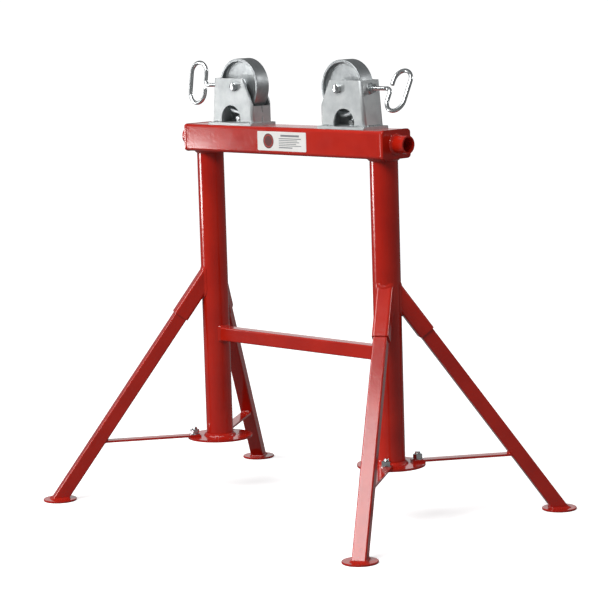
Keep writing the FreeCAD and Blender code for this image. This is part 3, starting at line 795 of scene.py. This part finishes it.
def box_outline(half_a, half_b, corner, points, steps=12):
    """A rounded rectangle as (a, b) pairs at equal distances, and its outward normals."""
    loop = rounded([(half_a, 0), (half_a, half_b), (-half_a, half_b), (-half_a, -half_b),
                    (half_a, -half_b), (half_a, 0)], [corner] * 4, steps)
    outline = along_line(loop, np.linspace(0, line_length(loop), points, endpoint=False))
    flat = np.array([half_a, half_b]) - corner
    beyond = outline - np.clip(outline, -flat, flat)
    return outline, beyond / np.linalg.norm(beyond, axis=1, keepdims=True)


def saddle_weld(column, start, direction, across, tube, kind):
    """Weld where a rounded square tube leaves a round column; start is on the tube's centre line."""
    third = np.cross(direction, across)
    half, corner = tube
    outline, normals = box_outline(half, half, corner, SADDLE_POINTS)
    base = start + outline[:, :1] * across + outline[:, 1:] * third
    radius = float(np.ptp(cad_span(column), axis=0)[0]) / 2 + PROUD
    offset = (base - cad_centre(column))[:, :2]
    a = direction[:2] @ direction[:2]
    b = offset @ direction[:2]
    c = (offset ** 2).sum(1) - radius ** 2
    slide = (-b + np.sqrt(b ** 2 - a * c)) / a
    line = base + slide[:, None] * direction
    spoke = (line - cad_centre(column)) * [1, 1, 0] / radius
    away = normals[:, :1] * across + normals[:, 1:] * third
    away = away - (away * spoke).sum(1, keepdims=True) * spoke
    away /= np.linalg.norm(away, axis=1, keepdims=True)
    return weld_grid(line, repeat(direction, line), away, kind)


def leg_frame(side, face):
    """The foot's top middle, its distance from the column, and the leg's directions down and level across."""
    column, plan = leg_plan(side, face)
    foot = cad_centre(f"{face}_{side}_foot")
    foot[2] = cad_span(f"{face}_{side}_foot")[1][2]
    down = plan * math.cos(LEG_SLOPE) - UP * math.sin(LEG_SLOPE)
    return foot, np.linalg.norm((foot - column) * [1, 1, 0]), down, np.cross(UP, plan)


grids = []
for side, way in SIDES.items():
    middle = cad_centre("crossbar")
    start = np.array([cad_centre(f"{side}_column")[0], middle[1], middle[2]])
    grids.append(saddle_weld(f"{side}_column", start, -way * X_WAY, Y_WAY, CROSSBAR, "crossbar"))
    for face in FACES:
        foot, reach, down, across = leg_frame(side, face)
        start = foot - down * (reach / math.cos(LEG_SLOPE))
        grids.append(saddle_weld(f"{side}_column", start, down, across, SOCKET, f"{side}_socket"))
saddles = weld_piece("saddle_welds", grids)
print(saddles.name, len(grids), "beads,", len(saddles.data.polygons), "faces")

# %% [markdown]
# Each leg stands on its foot plate and is welded round. Its outline, cut at the slope, is stretched in the
# direction of the leg. Each brace has a short bead over and under it where it meets the leg.

# %% Welds at the feet and the braces
BRACE_BEAD_HALF, BRACE_BEAD_POINTS = 11.5 * MM, 60
foot_grids, brace_weld_grids = [], []
for side in SIDES:
    for face in FACES:
        foot, reach, down, across = leg_frame(side, face)
        column, plan = leg_plan(side, face)
        third = np.cross(down, across)
        half, corner = LEG
        outline, normals = box_outline(half, half, corner, FOOT_POINTS)
        base = foot + outline[:, :1] * across + outline[:, 1:] * third
        line = base + ((foot[2] - base[:, 2]) / down[2])[:, None] * down
        away = (normals[:, :1] * across + normals[:, 1:] * third) * [1, 1, 0]
        away /= np.linalg.norm(away, axis=1, keepdims=True)
        foot_grids.append(weld_grid(line, repeat(-down, line), away, "foot"))
        low, high = cad_span(f"{face}_{side}_brace")
        for z, way in ((high[2], -1.0), (low[2], 1.0)):
            level = (half + (z - foot[2]) * math.cos(LEG_SLOPE)) / math.sin(LEG_SLOPE)
            middle = column + plan * (reach - level) + UP * z
            stations = np.linspace(-BRACE_BEAD_HALF, BRACE_BEAD_HALF, BRACE_BEAD_POINTS)
            line = middle + stations[:, None] * across
            brace_weld_grids.append(weld_grid(line, repeat(-plan, line), repeat(way * down, line),
                                              "brace", closed=False))
weld_piece("foot_welds", foot_grids)
weld_piece("brace_welds", brace_weld_grids, closed=False)
print(len(foot_grids), "foot welds,", len(brace_weld_grids), "brace beads")

# %% [markdown]
# The end caps are welded on round the beam's end. That is not a corner but a seam in one surface, so the two
# directions point opposite ways along the beam, tilted out a little, which turns the same section into a low
# crown over the seam.

# %% Seam welds on the beam's end caps
BEAM_CORNER, CAP_POINTS = 8.0 * MM, 420
CAP_SET_IN, CAP_TILT = 1.3 * MM, 0.55
for side, way in SIDES.items():
    low, high = cad_span("top_beam")
    middle = np.array([end_x("top_beam", way), 0.0, (low[2] + high[2]) / 2])
    outline, normals = box_outline(float(high[1] - low[1]) / 2, float(high[2] - low[2]) / 2, BEAM_CORNER,
                                   CAP_POINTS, steps=16)
    outward = normals[:, :1] * Y_WAY + normals[:, 1:] * UP
    line = middle + outline[:, :1] * Y_WAY + outline[:, 1:] * UP - CAP_SET_IN * outward
    grid = weld_grid(line, outward * CAP_TILT + X_WAY, outward * CAP_TILT - X_WAY, "end_cap")
    made = weld_piece(f"{side}_cap_weld", [grid])
    print(made.name, len(made.data.polygons), "faces")

# %% [markdown]
# The brackets were welded to their base plates before plating, so those beads are zinc coloured. They run
# along the front and back walls on both sides of the arched opening, and along the back wall.

# %% Welds on the heads
WALL_LEAN = math.radians(5.3)       # a bracket's back wall leans out towards its foot
CLEAR_OF_BOLT = 35.0 * MM           # side beads stop here, beside the arched opening
CLEAR_OF_END, SHORTEST = 9.0 * MM, 6.0 * MM
BACK_BEAD_HALF, BACK_BEAD_POINTS = 22 * MM, 70
NUT_BEAD_RADIUS, NUT_BEAD_POINTS = 9.9 * MM, 110
BEAD_STEP, FEWEST_POINTS = 0.7 * MM, 24


def side_beads(low, high, bolt_x):
    """Beads along the feet of the front and back walls, on either side of the arch round bolt_x."""
    beads = []
    for face in FACES.values():
        for first, last in ((low[0] + CLEAR_OF_END, bolt_x - CLEAR_OF_BOLT),
                            (bolt_x + CLEAR_OF_BOLT, high[0] - CLEAR_OF_END)):
            if last - first >= SHORTEST:
                points = max(FEWEST_POINTS, int((last - first) / BEAD_STEP))
                line = np.linspace((first, face * high[1], low[2]), (last, face * high[1], low[2]), points)
                beads.append(weld_grid(line, repeat(face * Y_WAY, line), repeat(UP, line), "bracket_side",
                                       closed=False))
    return beads


for side, way in SIDES.items():
    low, high = cad_span(f"{side}_bracket")
    beads = side_beads(low, high, cad_centre(f"{side}_clamp_bolt")[0])
    x = end_x(f"{side}_bracket", way)
    line = np.linspace((x, -BACK_BEAD_HALF, low[2]), (x, BACK_BEAD_HALF, low[2]), BACK_BEAD_POINTS)
    beads.append(weld_grid(line, repeat(way * X_WAY, line), repeat(UP, line), "bracket_back", closed=False))
    weld_piece(f"{side}_bracket_welds", beads, False, weld_zinc, f"{side}_head")
    up_wall = UP * math.cos(WALL_LEAN) - way * X_WAY * math.sin(WALL_LEAN)
    off_wall = way * X_WAY * math.cos(WALL_LEAN) + UP * math.sin(WALL_LEAN)
    line, spokes = circle_line(back_wall(side), NUT_BEAD_RADIUS, Y_WAY, up_wall, NUT_BEAD_POINTS)
    grid = weld_grid(line, spokes, repeat(off_wall, line), "brake_nut")
    weld_piece(f"{side}_brake_nut_weld", [grid], True, weld_zinc, f"{side}_head")
    print(side, "head:", len(beads), "beads on its bracket")

# %% [markdown]
# ## Edges that catch light
#
# Sheared and folded plate never has a perfectly sharp edge. A bevel of 0.7 mm is enough for an edge to
# catch a thin line of light. The CAD meshes are loose triangles, so a Weld modifier first joins
# points that coincide, and the Bevel modifier then rounds only edges that turn by more than 40 degrees.

# %% Soften sheared edges
SOFT_EDGE, SHARPER_THAN = 0.7 * MM, math.radians(40)
for name in (f"{side}_{kind}" for side in SIDES for kind in ("bracket", "head_base")):
    joined = nodes[name].modifiers.new("join", "WELD")
    joined.merge_threshold = SAME_POINT / 2
    bevel = nodes[name].modifiers.new("edge", "BEVEL")
    bevel.width = SOFT_EDGE
    bevel.segments = 2
    bevel.limit_method = "ANGLE"
    bevel.angle_limit = SHARPER_THAN
    bevel.use_clamp_overlap = True
    bevel.harden_normals = True
print("softened edges that turn by more than", round(math.degrees(SHARPER_THAN)), "degrees")

# %% [markdown]
# ## Floor and light
#
# The stand is lit as for a catalogue: a big soft light high on the left gives the long front face its full
# colour and leaves the beam's end and the right of each column in shade. A small panel close by shines back
# from the beam's left end and adds no other light. A wide one in front and overhead puts a pale sheen on the
# lower front leg, a low one behind gives level plates a pale top, and a strip behind the right head draws a
# band on the rollers' treads. A white world shows behind everything, but lights the stand only dimly, so that
# the metal has something dark to reflect.

# %% Floor
def matt_paper():
    """White paper. The camera sees it lit on its own, as a separate lamp on a backdrop does; the stand gets
    only what grey paper would throw back."""
    material, tree, place = new_material("matt_white_paper")
    colour = ramp(tree, noise(tree, place, 0.4, 2.0), 0.3, 0.7, [linear("#FAFAFA"), linear("#F6F6F6")])
    paper = node(tree, "ShaderNodeBsdfDiffuse", Color=colour)
    glow = node(tree, "ShaderNodeEmission", Color=(1.0, 1.0, 1.0, 1.0), Strength=0.62)
    seen_paper = node(tree, "ShaderNodeAddShader", _0=paper.outputs[0], _1=glow.outputs[0])
    thrown_back = node(tree, "ShaderNodeBsdfDiffuse", Color=linear("#8C8C8C"))
    camera_ray = node(tree, "ShaderNodeLightPath").outputs["Is Camera Ray"]
    return finished(material, node(tree, "ShaderNodeMixShader", _0=camera_ray, _1=thrown_back.outputs[0],
                                   _2=seen_paper.outputs[0]))


FLOOR_HALF = 120.0
floor_mesh = bpy.data.meshes.new("floor")
floor_mesh.from_pydata([(x * FLOOR_HALF, y * FLOOR_HALF, 0) for x, y in ((-1, -1), (1, -1), (1, 1), (-1, 1))],
                       [], [(0, 1, 2, 3)])
floor_mesh.materials.append(matt_paper())
floor = bpy.data.objects.new("floor", floor_mesh)
bpy.context.scene.collection.objects.link(floor)
print("floor is", 2 * FLOOR_HALF, "m across")


# %% Lights
def light(name, kind, place, towards, energy, **settings):
    data = bpy.data.lights.new(name, kind)
    data.energy = energy
    for key, value in settings.items():
        setattr(data, key, value)
    lamp = bpy.data.objects.new(name, data)
    bpy.context.scene.collection.objects.link(lamp)
    lamp.location = place
    lamp.visible_camera = False
    lamp.rotation_mode = "QUATERNION"
    lamp.rotation_quaternion = (Vector(towards) - Vector(place)).to_track_quat("-Z", "Y")
    return lamp


TARGET = (0.0, 0.0, 0.6)


def panel(name, place, energy, width, height, towards=TARGET):
    return light(name, "AREA", place, towards, energy, shape="RECTANGLE", size=width, size_y=height)


light("daylight", "SUN", (-1.2, -4.0, 4.5), TARGET, 1.5, angle=math.radians(35))
panel("left_panel", (-3.80, -2.50, 1.1), 26.0, 0.8, 2.2)
near_panel = panel("near_panel", (-1.64, -0.98, 0.60), 4.5, 0.5, 0.25, towards=(-0.32, -0.04, 0.85))
near_panel.visible_diffuse = False
panel("overhead_panel", (0.6, -2.6, 3.3), 60.0, 2.0, 1.2)
panel("far_panel", (-3.1, 2.8, 1.0), 5.0, 2.6, 1.1)
panel("back_strip", (3.0, 3.3, 2.6), 24.0, 1.6, 0.3)

world = bpy.data.worlds.new("studio")
bpy.context.scene.world = world
world.use_nodes = True
sky = world.node_tree
sky.nodes.clear()
seen = node(sky, "ShaderNodeLightPath").outputs["Is Camera Ray"]
dim = node(sky, "ShaderNodeBackground", Color=linear("#F2F4F6"), Strength=0.2)
white = node(sky, "ShaderNodeBackground", Color=(1.0, 1.0, 1.0, 1.0), Strength=1.0)
both = node(sky, "ShaderNodeMixShader", _0=seen, _1=dim.outputs[0], _2=white.outputs[0])
node(sky, "ShaderNodeOutputWorld", Surface=both.outputs[0])
